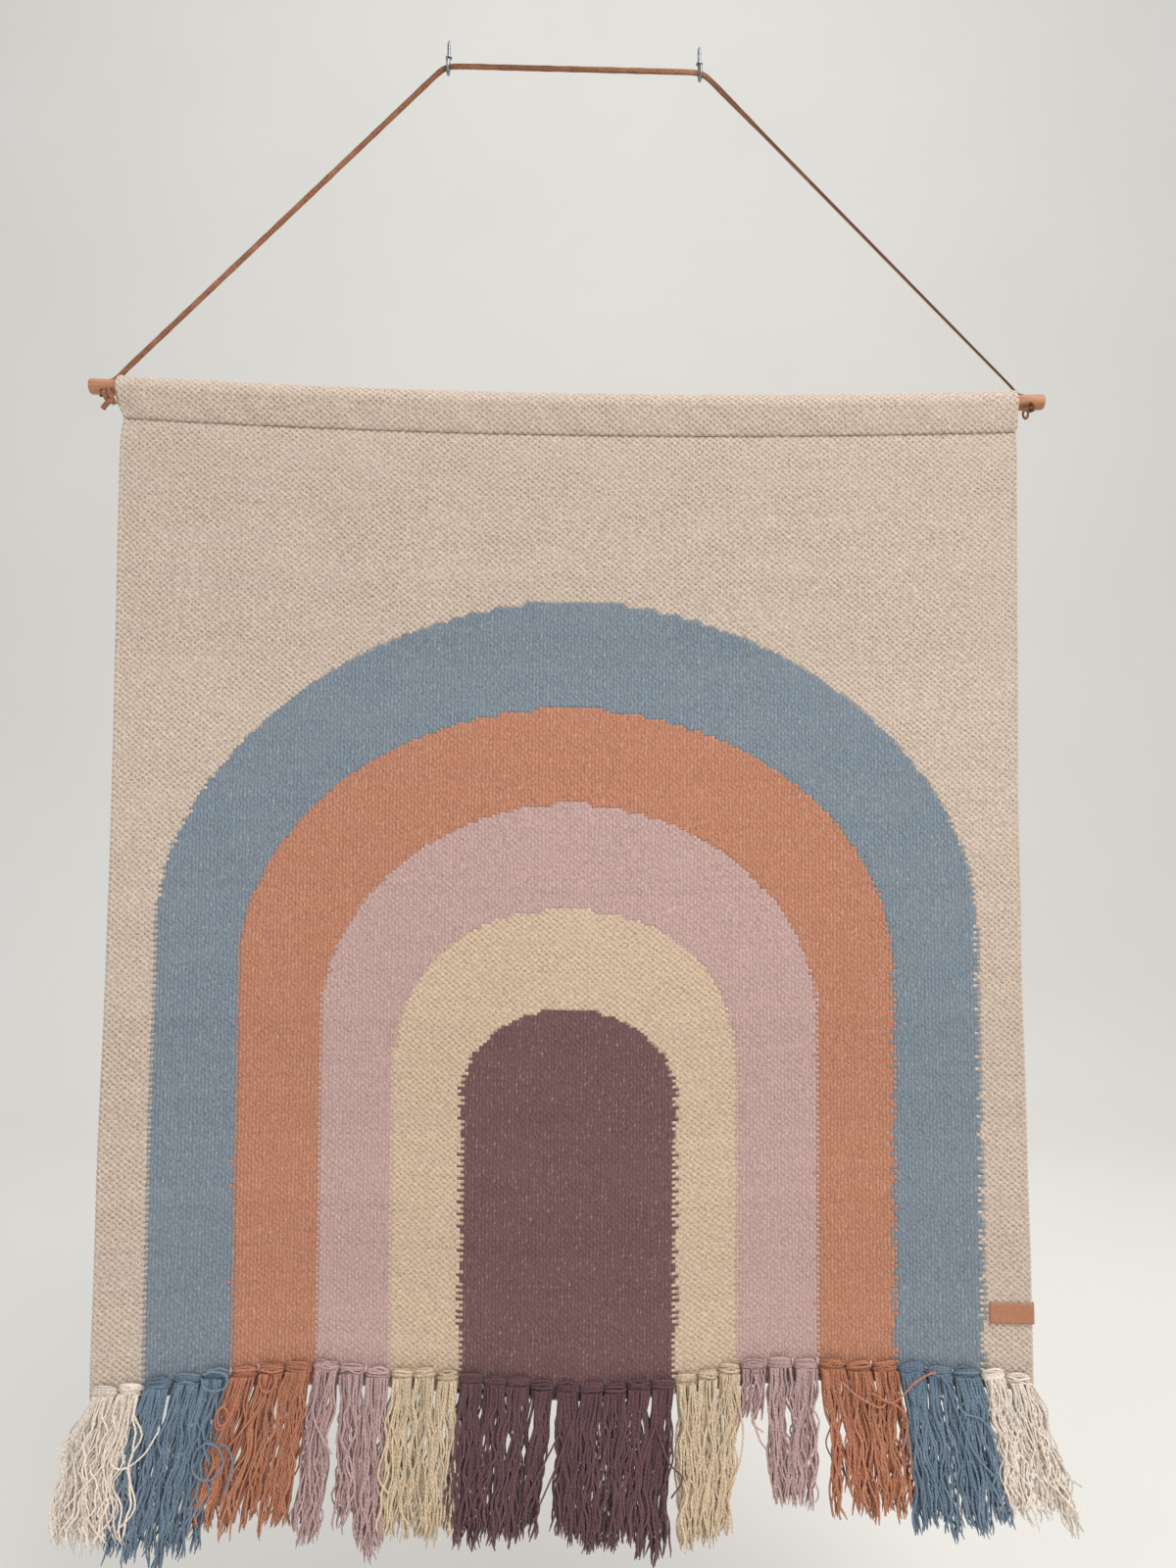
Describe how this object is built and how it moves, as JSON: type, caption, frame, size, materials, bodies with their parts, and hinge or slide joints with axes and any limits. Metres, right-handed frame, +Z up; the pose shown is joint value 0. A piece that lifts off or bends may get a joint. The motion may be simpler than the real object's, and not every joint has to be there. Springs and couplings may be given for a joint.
{
  "type": "tapestry wall hanging",
  "caption": "Hand-woven wool wall hanging with nested rainbow arches and a knotted fringe, on an oak rod hung by a leather lace from screw hooks.",
  "frame": {"origin": "midway between the two hook shanks, on the underside of the moulding that they are screwed into; everything hangs below it", "axes": "+Z up along the hook shanks, +X to the right of a person who faces the hanging, -Y out of the wall towards that person"},
  "size_m": [0.741, 0.0221, 1.1417],
  "materials": {
    "cream_wool": "matt hand-woven wool, undyed cream, mottled",
    "blue_wool": "matt hand-woven wool, grey-blue",
    "terracotta_wool": "matt hand-woven wool, soft terracotta",
    "pink_wool": "matt hand-woven wool, dusty pink",
    "yellow_wool": "matt hand-woven wool, pale straw yellow",
    "plum_wool": "matt hand-woven wool, dark plum",
    "cotton_thread": "off-white twisted cotton",
    "leather_lace": "tan flat leather lace with darker cut edges",
    "leather_label": "smooth tan vegetable-tanned leather, blank",
    "oak_rod": "oiled oak dowel with eased ends",
    "steel_hook": "bright zinc-plated steel wire"
  },
  "bodies": {
    "hooks": {"hook_left": "steel_hook", "hook_right": "steel_hook"},
    "hanger": {"leather_lace": "leather_lace", "lace_knot_left": "leather_lace", "lace_knot_right": "leather_lace", "oak_rod": "oak_rod"},
    "cloth": {"rod_sleeve": "cream_wool", "seam_thread": "cotton_thread", "cream_ground": "cream_wool", "blue_arch": "blue_wool", "terracotta_arch": "terracotta_wool", "pink_arch": "pink_wool", "yellow_arch": "yellow_wool", "plum_doorway": "plum_wool", "selvedge_left": "cream_wool", "selvedge_right": "cream_wool", "hem_cord": "cotton_thread", "leather_label": "leather_label"},
    "fringe_cream_left": {"tassel_cream_left_1": "cream_wool", "tassel_cream_left_2": "cream_wool"},
    "fringe_blue_left": {"tassel_blue_left_1": "blue_wool", "tassel_blue_left_2": "blue_wool", "tassel_blue_left_3": "blue_wool"},
    "fringe_terracotta_left": {"tassel_terracotta_left_1": "terracotta_wool", "tassel_terracotta_left_2": "terracotta_wool", "tassel_terracotta_left_3": "terracotta_wool"},
    "fringe_pink_left": {"tassel_pink_left_1": "pink_wool", "tassel_pink_left_2": "pink_wool", "tassel_pink_left_3": "pink_wool"},
    "fringe_yellow_left": {"tassel_yellow_left_1": "yellow_wool", "tassel_yellow_left_2": "yellow_wool", "tassel_yellow_left_3": "yellow_wool"},
    "fringe_plum": {"tassel_plum_1": "plum_wool", "tassel_plum_2": "plum_wool", "tassel_plum_3": "plum_wool", "tassel_plum_4": "plum_wool", "tassel_plum_5": "plum_wool", "tassel_plum_6": "plum_wool", "tassel_plum_7": "plum_wool", "tassel_plum_8": "plum_wool", "tassel_plum_9": "plum_wool"},
    "fringe_yellow_right": {"tassel_yellow_right_1": "yellow_wool", "tassel_yellow_right_2": "yellow_wool", "tassel_yellow_right_3": "yellow_wool"},
    "fringe_pink_right": {"tassel_pink_right_1": "pink_wool", "tassel_pink_right_2": "pink_wool", "tassel_pink_right_3": "pink_wool"},
    "fringe_terracotta_right": {"tassel_terracotta_right_1": "terracotta_wool", "tassel_terracotta_right_2": "terracotta_wool", "tassel_terracotta_right_3": "terracotta_wool"},
    "fringe_blue_right": {"tassel_blue_right_1": "blue_wool", "tassel_blue_right_2": "blue_wool", "tassel_blue_right_3": "blue_wool"},
    "fringe_cream_right": {"tassel_cream_right_1": "cream_wool", "tassel_cream_right_2": "cream_wool"}
  },
  "joints": [
    {"name": "hanger_swing", "type": "hinge", "parent": "hooks", "child": "hanger", "pos_m": [0, -0.0045, -0.011], "axis": [-1, 0, 0], "range_deg": [0, 30]},
    {"name": "cloth_turn", "type": "hinge", "parent": "hanger", "child": "cloth", "pos_m": [0, -0.0045, -0.27], "axis": [-1, 0, 0], "range_deg": [-30, 60]},
    {"name": "fringe_cream_left_swing", "type": "hinge", "parent": "cloth", "child": "fringe_cream_left", "pos_m": [0, -0.0098, -1.01472], "axis": [-1, 0, 0], "range_deg": [0, 60]},
    {"name": "fringe_blue_left_swing", "type": "hinge", "parent": "cloth", "child": "fringe_blue_left", "pos_m": [0, -0.0098, -1.01472], "axis": [-1, 0, 0], "range_deg": [0, 60]},
    {"name": "fringe_terracotta_left_swing", "type": "hinge", "parent": "cloth", "child": "fringe_terracotta_left", "pos_m": [0, -0.0098, -1.01472], "axis": [-1, 0, 0], "range_deg": [0, 60]},
    {"name": "fringe_pink_left_swing", "type": "hinge", "parent": "cloth", "child": "fringe_pink_left", "pos_m": [0, -0.0098, -1.01472], "axis": [-1, 0, 0], "range_deg": [0, 60]},
    {"name": "fringe_yellow_left_swing", "type": "hinge", "parent": "cloth", "child": "fringe_yellow_left", "pos_m": [0, -0.0098, -1.01472], "axis": [-1, 0, 0], "range_deg": [0, 60]},
    {"name": "fringe_plum_swing", "type": "hinge", "parent": "cloth", "child": "fringe_plum", "pos_m": [0, -0.0098, -1.01472], "axis": [-1, 0, 0], "range_deg": [0, 60]},
    {"name": "fringe_yellow_right_swing", "type": "hinge", "parent": "cloth", "child": "fringe_yellow_right", "pos_m": [0, -0.0098, -1.01472], "axis": [-1, 0, 0], "range_deg": [0, 60]},
    {"name": "fringe_pink_right_swing", "type": "hinge", "parent": "cloth", "child": "fringe_pink_right", "pos_m": [0, -0.0098, -1.01472], "axis": [-1, 0, 0], "range_deg": [0, 60]},
    {"name": "fringe_terracotta_right_swing", "type": "hinge", "parent": "cloth", "child": "fringe_terracotta_right", "pos_m": [0, -0.0098, -1.01472], "axis": [-1, 0, 0], "range_deg": [0, 60]},
    {"name": "fringe_blue_right_swing", "type": "hinge", "parent": "cloth", "child": "fringe_blue_right", "pos_m": [0, -0.0098, -1.01472], "axis": [-1, 0, 0], "range_deg": [0, 60]},
    {"name": "fringe_cream_right_swing", "type": "hinge", "parent": "cloth", "child": "fringe_cream_right", "pos_m": [0, -0.0098, -1.01472], "axis": [-1, 0, 0], "range_deg": [0, 60]}
  ]
}
